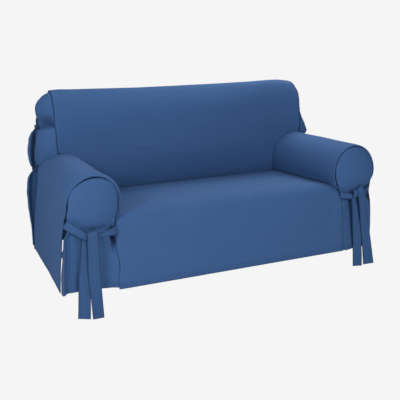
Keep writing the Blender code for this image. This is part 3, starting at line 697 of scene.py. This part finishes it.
# ---- seat and front drop
def seat_and_front(shader):
    table = np.array(SEAT_RUN)
    keys = chord_keys(table[:, :2])
    v = stations(keys[-1], CELL, SEAM_STEPS, HEM_STEPS)
    u = 2 * stations(2 * SEAT_RUN[5].half, CELL)[None] - 1
    y, z, half, crown = hermite(keys, table, v * keys[-1]).T[..., None]
    lift = crown * (1 - u**4)
    facing_up = ease(y, *SEAT_TURNS_DOWN)
    forward = FRONT_SWELL * lift * (1 - facing_up)
    bow = bulge(z, *DROP_BOW) * ((1 - u) / 2) ** 8
    to_back = back_face_y(z) - y
    lift = lift - np.where(to_back < 0.1, bulge(to_back, *CREASE_DIP), 0)
    bow = bow + bulge(z, *DROP_WIDER) * ((1 + u) / 2) ** 8
    grid = points(half * u + bow, y - forward, z + lift * facing_up)
    kinds = ("tuck", "hem", "seam", "seam")
    sewn = sew(grid, -1, kinds, SEAT_FOLDS, ((0.3, 0.0016), (0.12, 0.0007)), 100)
    marks = sewn[-1]
    # Fainter painted seam shade on this sheet.
    marks["seam"] = marks["seam"] + DROP_EDGE_SOFT
    piece = panel("seat_and_front", -1, sewn, shader)


# ---- inside back
def inside_back(shader):
    reach_x = ROLL_X - TUCK_BEHIND_ARM
    reach_z = ROLL_Z[LEFT] - TUCK_BEHIND_ARM
    beside = ARM_Z + reach_z * np.sin(np.radians(np.linspace(BESIDE_FROM, 90, 34)))
    rise_z = np.concatenate([[BACK_RUN[0].z], beside])
    from_key = back_face_key(ABOVE_ARM_Z)
    length = BACK_KEYS[-1] - from_key
    keys = from_key + length * stations(length, CELL, (0,))
    profile = np.concatenate([points(back_face_y(rise_z), rise_z), on_back(keys)])
    y, z = profile.T[..., None]
    inside_roll = 1 - np.clip((z - ARM_Z) / reach_z, -LOWEST_TUCK, 1.0) ** 2
    between = ARM_X - reach_x * np.sqrt(inside_roll)
    above = np.arange(len(z))[:, None] >= len(rise_z)
    left, right = (np.where(above, back_end(side, z), between) for side in (LEFT, RIGHT))
    u = stations(BACK_HALF[LEFT] + BACK_HALF[RIGHT], CELL)[None]
    x = -left * (1 - u) + right * u
    crown = CROWN * ease(z, *CROWN_STARTS) * (1 - ease(z, *CROWN_ENDS))
    crown[y > BACK_RUN[TOP_STATION].y] = 0.0
    between_arms = np.clip(1 - (x / (ARM_X - ROLL_X - 0.01)) ** 2, 0, 1)
    grid = settle(points(x, y - crown * between_arms, z))[::-1]
    kinds = ("seam", "tuck", "seam", "seam")
    sewn = sew(grid, -1, kinds, BACK_FOLDS, ((0.34, 0.0018), (0.13, 0.0008)), 200)
    piece = panel("inside_back", -1, sewn, shader)


# ---- outside back
def outside_back(shader):
    top_z = BACK_EDGE[0].z
    z = (top_z + (HEM_Z - top_z) * stations(top_z - HEM_Z, CELL, SEAM_STEPS, HEM_STEPS))[:, None]
    left, right = (look_up(BACK_EDGE, name, z) for name in ("left", "right"))
    u = stations(BACK_ACROSS, CELL, FLAP_STEPS, FLAP_STEPS)[None]
    depth = look_up(FLAP_TURN, "depth", z)
    left_out, left_turn = turn_edge(u * (left + right), depth, RETURN_BLEND)
    right_out, right_turn = turn_edge((1 - u) * (left + right), depth, RETURN_BLEND)
    x = -left * (1 - u) + right * u - left_out + right_out
    x = x + FLAP_LEAN * (left_turn - right_turn)
    top = ease(z, *BACK_TOP)
    sag = BACK_SAG * np.sin(pi * u) * (1 - top)
    y = BACK_Y - BACK_TOP_IN * top + sag - left_turn - right_turn
    low = 1 - ease(z, HEM_Z, BACK_DIP_FROM_Z)
    grid = settle(points(x, y, z - BACK_HEM_DIP * (1 - u) ** 4 * low))
    kinds = ("seam", "hem", "hem", "hem")
    sewn = sew(grid, 1, kinds, REAR_FOLDS, ((0.32, 0.0022), (0.12, 0.0008)), 300)
    piece = panel("outside_back", 1, sewn, shader)


# ---- arm panels
def gusset_roll(side):
    return ROLL_X + ROLL_REAR[side] - GUSSET_INSET


def first_turn(side):
    """Where the gusset starts, in degrees round the roll."""
    return 180 - degrees(acos((BACK_HALF[side] - TOP_INSET - ARM_X) / gusset_roll(side)))


def arm_rear_y(side, turn, front_y):
    behind = ease(turn, first_turn(side) + SWEEP_FROM_TURN, SWEEP_TO_TURN)
    return front_y + (SIDE_REAR_Y - front_y) * behind


def disc_size(side, arc):
    """Half width and half height of the round end piece, arc from 0 on its outer side to pi."""
    inner = (1 - np.cos(arc)) / 2
    lies_in = DISC_IN[side] + (DISC_IN_INNER[side] - DISC_IN[side]) * inner
    return ROLL_X - lies_in, ROLL_Z[side] - lies_in


def disc_drop(side, arc):
    """How far the seam round the top of the end piece lies under the roll's own curve."""
    high = np.clip(np.sin(arc), 0, 1)
    return (DISC_DROP[side] + DISC_LEAN[side] * np.cos(arc)) * high


def rim_rows(rear_y, rim, side, turn):
    """y and inset of the arm panel's columns: the rim, then on to its rear edge.

    rim is 1 on the roll and 0 on the drop, whose front edge is flat.
    """
    flat_y = FRONT_EDGE_Y + np.arange(len(RIM_PROFILE)) * 0.006
    front_y = column(RIM_PROFILE, "y") * rim + flat_y * (1 - rim)
    inset = column(RIM_PROFILE, "inset")
    inner = 1 - ease(turn, 20, 100)
    flare = RIM_OUT[side] + (RIM_OUT_INNER[side] - RIM_OUT[side]) * inner
    turned_in = disc_drop(side, pi - radians(turn)) * np.clip(1 - front_y / RIM_TAPER, 0, 1) ** 1.5
    lip = 1 - (1 - LIP_INNER) * inner
    inset = (np.where(inset > 0, inset * lip, inset * flare) + turned_in) * rim
    share = stations(BEHIND_RIM, SMALL_CELL, (0,))[1:]
    y = np.concatenate([front_y, front_y[-1] + (rear_y - front_y[-1]) * share])
    inset = np.concatenate([inset, 0 * share])
    return y, inset + REAR_TUCK * rim * bell(rear_y - y, REAR_TUCK_REACH)


def shade_slit(marks, from_edge, z):
    """Marks the edges along the slit under the arm tie as seams, so that they look shaded."""
    above = 1 - ease(ARM_Z - z, *SLIT_STARTS)
    marks["seam"] = np.minimum(marks["seam"], SLIT_SHADE * from_edge + 0.02 * above)


def arm_panel(side, shader):
    """Inner arm, roll and outer drop, in rows from front to back."""
    over = stations(ROLL_X * radians(180 - ROLL_FROM), SMALL_CELL, SEAM_STEPS, (0,))
    lines = []
    for turn in ROLL_FROM + (180 - ROLL_FROM) * over:
        angle = radians(turn)
        z = ARM_Z + ROLL_Z[side] * sin(angle)
        y, inset = rim_rows(arm_rear_y(side, turn, back_face_y(z) + REAR_MEETS), 1.0, side, turn)
        widened = ROLL_REAR[side] * ease(y, *ARM_WIDENS) if turn > 90 else 0.0
        offset = (ROLL_X + widened) * cos(angle)
        if turn < 0:
            floor_z = seat_z(y) + SEAM + SEAT_LAP
            free = ease(turn, ROLL_FROM, 0.4 * ROLL_FROM)
            z = floor_z * (1 - free) + np.maximum(z, floor_z + ROW_GAP * free) * free
        x = side * (ARM_X - offset + inset * cos(angle))
        lines.append(points(x, y, z - inset * sin(angle)))
    for z in ARM_Z + (HEM_Z - ARM_Z) * stations(ARM_Z - HEM_Z, SMALL_CELL, (0,), HEM_STEPS)[1:]:
        on_rim = 1 - ease(ARM_Z - z, 0.02, 0.1)
        y, inset = rim_rows(SIDE_REAR_Y + REAR_EDGE_LEAN * (ARM_Z - z), on_rim, side, 180)
        front, rear = (look_up(SIDE_DROP[side], name, z) for name in ("front", "rear"))
        x = side * (ARM_X + front + (rear - front) * ease(y, *ARM_WIDENS) - inset)
        lift = look_up(SIDE_HEM, "lift", y, "y")
        low = ease(ARM_Z - z, 0.0, ARM_Z - HEM_Z)
        lines.append(points(x, y, z + lift * low))
    kinds, lumps = ("seam", "hem", "free", "seam"), ((0.22, 0.0018), (0.09, 0.0008))
    sewn = sew(np.array(lines), side, kinds, ARM_FOLDS[side], lumps, 400 + side)
    grid, _, marks = sewn
    shade_slit(marks, grid[..., 1] - grid[:, :1, 1], grid[..., 2])
    piece = panel("arm_panel_" + SIDE_NAMES[side], side, sewn, shader)


# ---- arm fronts
def front_outline(side, edge, shares):
    """The outer or inner edge of an arm front, from the cap corner round the disc to the hem."""
    arc = np.radians(np.linspace(CAP_CORNER, 0, 5)[:-1])
    from_outer = arc if edge == "outer" else pi - arc
    disc_x, disc_z = disc_size(side, from_outer)
    cap = points(disc_x * np.cos(arc), ARM_Z + disc_z * np.sin(arc) - disc_drop(side, from_outer))
    heights = np.linspace(ARM_Z, FRONT_OUTLINE[side][-1].z, 24)
    lies_in = (DISC_IN if edge == "outer" else DISC_IN_INNER)[side]
    wider = (RIM - lies_in) * ease(heights, ARM_Z - 0.1, ARM_Z)
    if edge == "outer":
        wider = wider + bulge(heights, *ABOVE_TIE[side])
    below = points(look_up(FRONT_OUTLINE[side], edge, heights) + wider, heights)
    outline = np.concatenate([cap, below])
    keys = chord_keys(outline)
    return hermite(keys, outline, shares * keys[-1])


def front_depth(side, place, offset, z):
    """How far forward the arm front lies: a soft dome on the disc, gathers on the drop."""
    disc_x, disc_z = disc_size(side, 0.0)
    ring = np.sqrt((offset / disc_x) ** 2 + ((z - ARM_Z) / disc_z) ** 2)
    dome = DOME * np.clip(1 - ring**2.4, 0, 1)
    turn = np.degrees(np.arctan2((z - ARM_Z) / disc_z, offset / disc_x))
    gape = bulge(turn, *GAPE[side]) * ease(ring, 0.8, 1.0)
    below = ARM_Z - ROLL_Z[LEFT] + RIM - z
    hang = ease(below, *HANG)
    fold = sum(bulge(place, row.forward, row.place, row.width) for row in GATHERS[side])
    gather = ease(below, *GATHERED)
    inner = np.clip(16 * place * (1 - place), 0, 1)
    forward = np.clip(-(front_drop_y(z) + FRONT_GAP + DROP_CLEAR[side]), 0, None) * gather
    neck = bulge(below, *NECK) * (0.35 + 0.65 * inner)
    hollow = sum(
        bulge(place, row.depth, row.place, row.width) * bell(z - row.z, row.height)
        for row in HOLLOWS[side]
    )
    lies = FRONT_HANG * hang * inner + GATHER_MORE[side] * fold * gather * inner
    lies = lies + np.clip(forward - lies, 0, None) * ease(place, FORWARD_FROM[side], 0.97)
    return -FRONT_GAP - dome - lies + neck + gape + hollow


def arm_front(side, shader):
    rise = stations(0.52, FINE_CELL, SEAM_STEPS, HEM_STEPS)
    outer, inner = (front_outline(side, edge, rise) for edge in ("outer", "inner"))
    inner[:, 0] *= -1
    across = stations(0.24, FINE_CELL, RETURN_STEPS, FREE_STEPS)
    arc = np.radians(CAP_CORNER + (180 - 2 * CAP_CORNER) * across)
    disc_x, disc_z = disc_size(side, arc)
    top = points(disc_x * np.cos(arc), ARM_Z + disc_z * np.sin(arc) - disc_drop(side, arc))
    hem = outer[-1] + (inner[-1] - outer[-1]) * across[:, None]
    offset, z = np.moveaxis(coons(top, hem, outer, inner, rise), -1, 0)
    y = front_depth(side, across[None], offset, z)
    lap = LAP[side] * ease(across, 0.9, 1.0) * ease(ARM_Z - z, 0.12, 0.22)
    offset, z = offset - lap, z + LAP_LIFT * lap
    depth = FRONT_RETURN * ease(ARM_Z - ROLL_Z[side] + 0.01 - z, 0.0, 0.04)
    from_edge = outer[:, :1] - offset
    outwards, turned = turn_edge(from_edge, depth, RETURN_BLEND)
    offset = offset + outwards + RETURN_OUT[side] * bell(from_edge, 0.02) * depth / FRONT_RETURN
    for row in EDGE_NICKS[side]:
        offset = offset + bulge(z, row.out, row.z, row.height) * turned / FRONT_RETURN
    grid = points(side * (ARM_X + offset), y + turned, z)
    kinds, lumps = ("seam", "hem", "seam", "seam"), ((0.09, 0.001), (0.04, 0.0005))
    sewn = sew(grid, side, kinds, FRONT_FOLDS[side], lumps, 500 + side)
    marks = sewn[-1]
    # Fainter painted seam shade towards the inner side.
    marks["seam"] = marks["seam"] + SEAM_SOFT[side] * ease(across, 0.4, 0.9)
    shade_slit(marks, from_edge, z)
    piece = panel("arm_front_" + SIDE_NAMES[side], side, sewn, shader)


# ---- end gussets
def end_gusset(side, shader):
    """End panel of the back, from the front seam (start) to the rear edge (end)."""
    name = SIDE_NAMES[side]
    across = stations(0.2, FINE_CELL)
    turn = first_turn(side) + (GUSSET_LAST_TURN - first_turn(side)) * across
    foot_x = ARM_X - gusset_roll(side) * np.cos(np.radians(turn))
    foot_z = ARM_Z + (ROLL_Z[side] - GUSSET_INSET) * np.sin(np.radians(turn))
    foot = points(foot_x, arm_rear_y(side, turn, back_face_y(foot_z)) + GUSSET_LIFT, foot_z)

    def along_back(keys, gap):
        y, z = under_back(keys, gap).T
        return points(back_end(side, z) - TOP_INSET, y, z)

    top_keys = TOP_KEY + (BACK_KEYS[-1] - TOP_KEY) * across
    top = along_back(top_keys, GUSSET_REAR_GAP * across + SEAM)
    rise = 2 * stations(0.38, FINE_CELL)
    crease = np.linspace(0.9, 1.12, 26)
    rise = np.sort(np.concatenate([rise[(rise < 0.89) | (rise > 1.13)], crease]))
    seam_z = np.interp(rise, [0, 1, 2], [foot_z[0], PINCH_Z[side], top[0, 2]])
    seam = along_back(back_face_key(seam_z), np.full(len(rise), SEAM))
    rear_z = np.interp(rise, [0, 1, 2], [foot_z[-1], PINCH_REAR_Z, top[-1, 2]])
    rear = points(look_up(GUSSET_REAR, name, rear_z), look_up(GUSSET_REAR, "y", rear_z), rear_z)
    foot[-1], seam[-1], rear[-1] = rear[0], top[0], top[-1]
    grid = coons(foot, top, seam, rear, rise / 2)
    puff = look_up(PUFF, name, rise, "place")[:, None] * np.sin(pi * across[None]) ** 0.7
    grid[..., 0] = side * (grid[..., 0] + puff)
    kinds, lumps = ("seam",) * 4, ((0.1, 0.0014), (0.045, 0.0007))
    sewn = sew(settle(grid)[::-1], side, kinds, GUSSET_FOLDS[side], lumps, 600 + side)
    piece = panel("end_gusset_" + name, side, sewn, shader)


# ---- ties
def strap_grid(table, cell, across, level):
    """Points of a flat strap along its stations. A level strap keeps its width along X."""
    keys = chord_keys(table[:, :3])
    run = hermite(keys, table, keys[-1] * stations(keys[-1], cell, (0, 0.002), (0, 0.002, 0.012)))
    middle, face = run[:, :3], np.radians(run[:, 4])
    width = np.cross(np.gradient(middle, axis=0), points(np.cos(face), np.sin(face), 0))
    if level:
        width = np.array([[1.0, 0.0, 0.0]])
    width /= np.linalg.norm(width, axis=1)[:, None]
    return middle[:, None] + across[None, :, None] * run[:, None, 3:4] * width[:, None]


def in_metres(table):
    return np.array(table) / (1000, 1000, 1000, 1000, 1)


def strap(name, table, shader, seed, cell=0.006, level=0):
    """A flat strap, sewn double, with a slight trough down its middle and soft waves."""
    grid = strap_grid(table, cell, np.array(STRAP_PLACES), level)
    gaps = edge_distances(grid)
    wide = np.minimum(gaps["left"], gaps["right"])
    height = -TIE_TROUGH * bell(wide - wide.max(axis=1, keepdims=True), 0.007)
    height += TIE_WAVE * wander(gaps["top"], gaps["left"] * 0.4, 0.045, seed)
    thick = TIE_CLOTH - bulge(wide, *TIE_THINNER)
    grid = grid + normals_of(grid, 1) * height[..., None]
    marks = {"seam": gaps["top"] + 0.002, "hem": wide, "run": gaps["top"]}
    return cloth_mesh(name, grid, 1, thick, marks, shader)


def arm_tie(name, shader, seed):
    """One tie: the strap that comes from its seam, and its free end or the turn over the knot."""
    levels, tables = zip(*TIE_STRIPS[name])
    tables = [in_metres(table) for table in tables]
    made = [
        strap(name + "_strap", table, shader, seed + 10 * number, 0.005, level)
        for number, (table, level) in enumerate(zip(tables, levels))
    ]
    with bpy.context.temp_override(active_object=made[0], selected_editable_objects=made):
        bpy.ops.object.join()
    piece = place(made[0], name, "tie_cloth")


def corner_tie(side, level, shader):
    at, start = CORNER_TIE_AT[level]
    tie_z = at / 1000
    edge = look_up(BACK_EDGE, SIDE_NAMES[side], tie_z)
    table = np.array([
        (side * (edge + reach), y, tie_z + drop, half, face if side == LEFT else 180 - face)
        for reach, y, drop, half, face in in_metres([start] + CORNER_TIE)
    ])
    name = "corner_tie_" + SIDE_NAMES[side] + "_" + level
    piece = place(strap(name + "_strap", table, shader, 800 + side), name, "tie_cloth")


# ---- materials
def feed(tree, node, inputs):
    """Sets each input of a node to its value, or links it to a socket."""
    for name, value in inputs.items():
        if isinstance(value, bpy.types.NodeSocket):
            tree.links.new(value, node.inputs[name])
        else:
            node.inputs[name].default_value = value


def add(tree, kind, output, inputs=None, **settings):
    """The named output of a new node with these inputs and settings."""
    made = tree.nodes.new("ShaderNode" + kind)
    for name, value in settings.items():
        setattr(made, name, value)
    feed(tree, made, inputs or {})
    return made.outputs[output]


def duck(name, colour, stitched):
    """Plain-woven cotton duck: two crossed sets of threads, slubs, soft blotches and a little fuzz.

    A line of stitches runs along each hem, at stitched from its edge. Painted shade darkens
    the cloth towards its seams and the edges of its hems.
    """
    made = bpy.data.materials.new(name)
    made.use_nodes = True
    tree = made.node_tree

    def maths(operation, *values):
        return add(tree, "Math", "Value", dict(enumerate(values)), operation=operation)

    def mark(attribute):
        return add(tree, "Attribute", "Fac", attribute_name=attribute)

    def ranged(source, to, start=(0.0, 1.0), **settings):
        """source, taken from the range start to the range to."""
        inputs = {"Value": source, "From Min": start[0], "From Max": start[1]}
        inputs.update({"To Min": to[0], "To Max": to[1]})
        return add(tree, "MapRange", "Result", inputs, **settings)

    weave = add(tree, "UVMap", "UV", uv_map="Weave")
    bands = {"Scale": BANDS_PER_THREAD / THREAD, "Distortion": 0.0, "Vector": weave}
    threads = maths("MULTIPLY", *(
        add(tree, "TexWave", "Fac", bands, wave_type="BANDS", bands_direction=axis) for axis in "XY"
    ))
    slubs = []
    for stretch in ((26, 900, 1), (900, 26, 1)):
        mapped = add(tree, "Mapping", "Vector", {"Scale": stretch, "Vector": weave})
        noise = {"Scale": 1.0, "Detail": 2.0, "Vector": mapped}
        slubs.append(add(tree, "TexNoise", "Fac", noise))
    slub = maths("ADD", *slubs)
    where = add(tree, "TexCoord", "Object")
    blotch = add(tree, "TexNoise", "Fac", {"Scale": 5.0, "Detail": 4.0, "Vector": where})
    off_line = maths("ABSOLUTE", maths("SUBTRACT", mark("hem"), stitched))
    dash = maths("LESS_THAN", maths("MODULO", mark("run"), STITCH), STITCH_SHARE * STITCH)

    def beside_line(reach):
        """1 on the line of stitches, falling to 0 at reach from it."""
        return ranged(off_line, (1.0, 0.0), (0.0, reach), interpolation_type="SMOOTHSTEP")

    stitch = maths("MULTIPLY", beside_line(0.0009), dash)
    shade = ranged(threads, (0.94, 1.05))
    for other in (
        ranged(slub, (0.9, 1.1)),
        ranged(blotch, (0.95, 1.05)),
        # Painted shade towards each seam and the slit edges marked as seams.
        ranged(mark("seam"), (0.3, 1.0), (0.0005, 0.0065)),
        # Painted shade at the edges of hems; a little darker across the hem band.
        ranged(mark("hem"), (0.55, 1.0), (0.0003, 0.005)),
        ranged(mark("hem"), (0.93, 1.0), (HEM_BAND - 0.002, HEM_BAND + 0.002)),
        ranged(stitch, (1.0, 0.78)),
    ):
        shade = maths("MULTIPLY", shade, other)
    tinted = add(tree, "VectorMath", "Vector", {0: colour, "Scale": shade}, operation="SCALE")

    relief = {"Strength": 0.25, "Distance": 0.0004, "Height": maths("ADD", threads, slub)}
    groove = ranged(beside_line(0.003), (1.0, 0.0))
    sunk = {"Strength": 0.6, "Distance": 0.0007, "Normal": add(tree, "Bump", "Normal", relief)}
    sunk["Height"] = maths("MULTIPLY_ADD", stitch, 0.5, groove)
    feed(tree, tree.nodes["Principled BSDF"], {
        "Metallic": 0.0,
        "Specular IOR Level": 0.12,
        "Specular Tint": (0.35, 0.6, 1.0, 1.0),
        "Sheen Weight": 0.04,
        "Sheen Roughness": 0.45,
        "Sheen Tint": (0.55, 0.7, 1.0, 1.0),
        "Base Color": tinted,
        "Roughness": ranged(slub, (0.82, 0.96)),
        "Normal": add(tree, "Bump", "Normal", sunk),
    })
    return made


# ---- camera, light and floor
def photo_camera():
    azimuth, elevation, roll = (radians(angle) for angle in CAMERA_TURN)
    back = Vector((sin(azimuth) * cos(elevation), -cos(azimuth) * cos(elevation), sin(elevation)))
    level = Vector((cos(azimuth), sin(azimuth), 0.0))
    upright = back.cross(level)
    right = level * cos(roll) + upright * sin(roll)
    up = upright * cos(roll) - level * sin(roll)
    camera = new_object("camera", bpy.data.cameras.new("camera"))
    camera.data.sensor_width = SENSOR_WIDTH
    camera.data.lens = SENSOR_WIDTH * FOCAL_PIXELS / IMAGE_PIXELS
    turned = Matrix((right, up, back)).transposed().to_4x4()
    camera.matrix_world = Matrix.Translation(CAMERA_AT) @ turned
    bpy.context.scene.camera = camera


def soft_light(name, at, aim, size, power):
    light = bpy.data.lights.new(name, "AREA")
    light.shape, light.size, light.energy = "DISK", size, power
    lamp = new_object(name, light)
    lamp.location = at
    lamp.rotation_euler = (Vector(aim) - Vector(at)).to_track_quat("-Z", "Y").to_euler()


def seen_or_lit(tree, seen, lit):
    """What the camera sees, where every other ray meets lit."""
    path = add(tree, "LightPath", "Is Camera Ray")
    return {"Surface": add(tree, "MixShader", "Shader", {0: path, 1: lit, 2: seen})}


def studio():
    """A pale floor that runs into a pale backdrop without a line, under soft light."""
    scene = bpy.context.scene
    scene.world = bpy.data.worlds.new("studio")
    scene.world.use_nodes = True
    tree = scene.world.node_tree
    tree.nodes.clear()
    seen = add(tree, "Background", 0, {"Color": PALE})
    lit = add(tree, "Background", 0, {"Color": SKY, "Strength": SKY_STRENGTH})
    feed(tree, tree.nodes.new("ShaderNodeOutputWorld"), seen_or_lit(tree, seen, lit))

    pale = bpy.data.materials.new("floor")
    pale.use_nodes = True
    tree = pale.node_tree
    shader = tree.nodes["Principled BSDF"]
    feed(tree, shader, {"Base Color": FLOOR_COLOUR, "Roughness": 0.9})
    glow = add(tree, "Emission", 0, {"Color": PALE})
    feed(tree, tree.nodes["Material Output"], seen_or_lit(tree, glow, shader.outputs[0]))
    mesh = bpy.data.meshes.new("floor")
    corners = ((-1, -1, 0), (1, -1, 0), (1, 1, 0), (-1, 1, 0))
    mesh.from_pydata(FLOOR_REACH * np.array(corners), [], [(0, 1, 2, 3)])
    mesh.materials.append(pale)
    floor = new_object("floor", mesh)
    floor.location.z = FLOOR_Z

    for lamp in LAMPS:
        soft_light(*lamp)
    scene.view_settings.view_transform = "Standard"
    scene.view_settings.look = "None"


def main():
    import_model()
    photo_camera()
    studio()
    cloth = duck("cloth", BLUE, HEM_STITCHED)
    # Ties: the same duck, darker by painted shade.
    tie_cloth = duck("tie_cloth", SHADED_TIE_BLUE, TIE_STITCHED)
    seat_and_front(cloth)
    inside_back(cloth)
    outside_back(cloth)
    for side in (LEFT, RIGHT):
        arm_panel(side, cloth)
        arm_front(side, cloth)
        end_gusset(side, cloth)
        for level in CORNER_TIE_AT:
            corner_tie(side, level, tie_cloth)
    for number, name in enumerate(TIE_STRIPS):
        arm_tie(name, tie_cloth, 700 + number)


main()
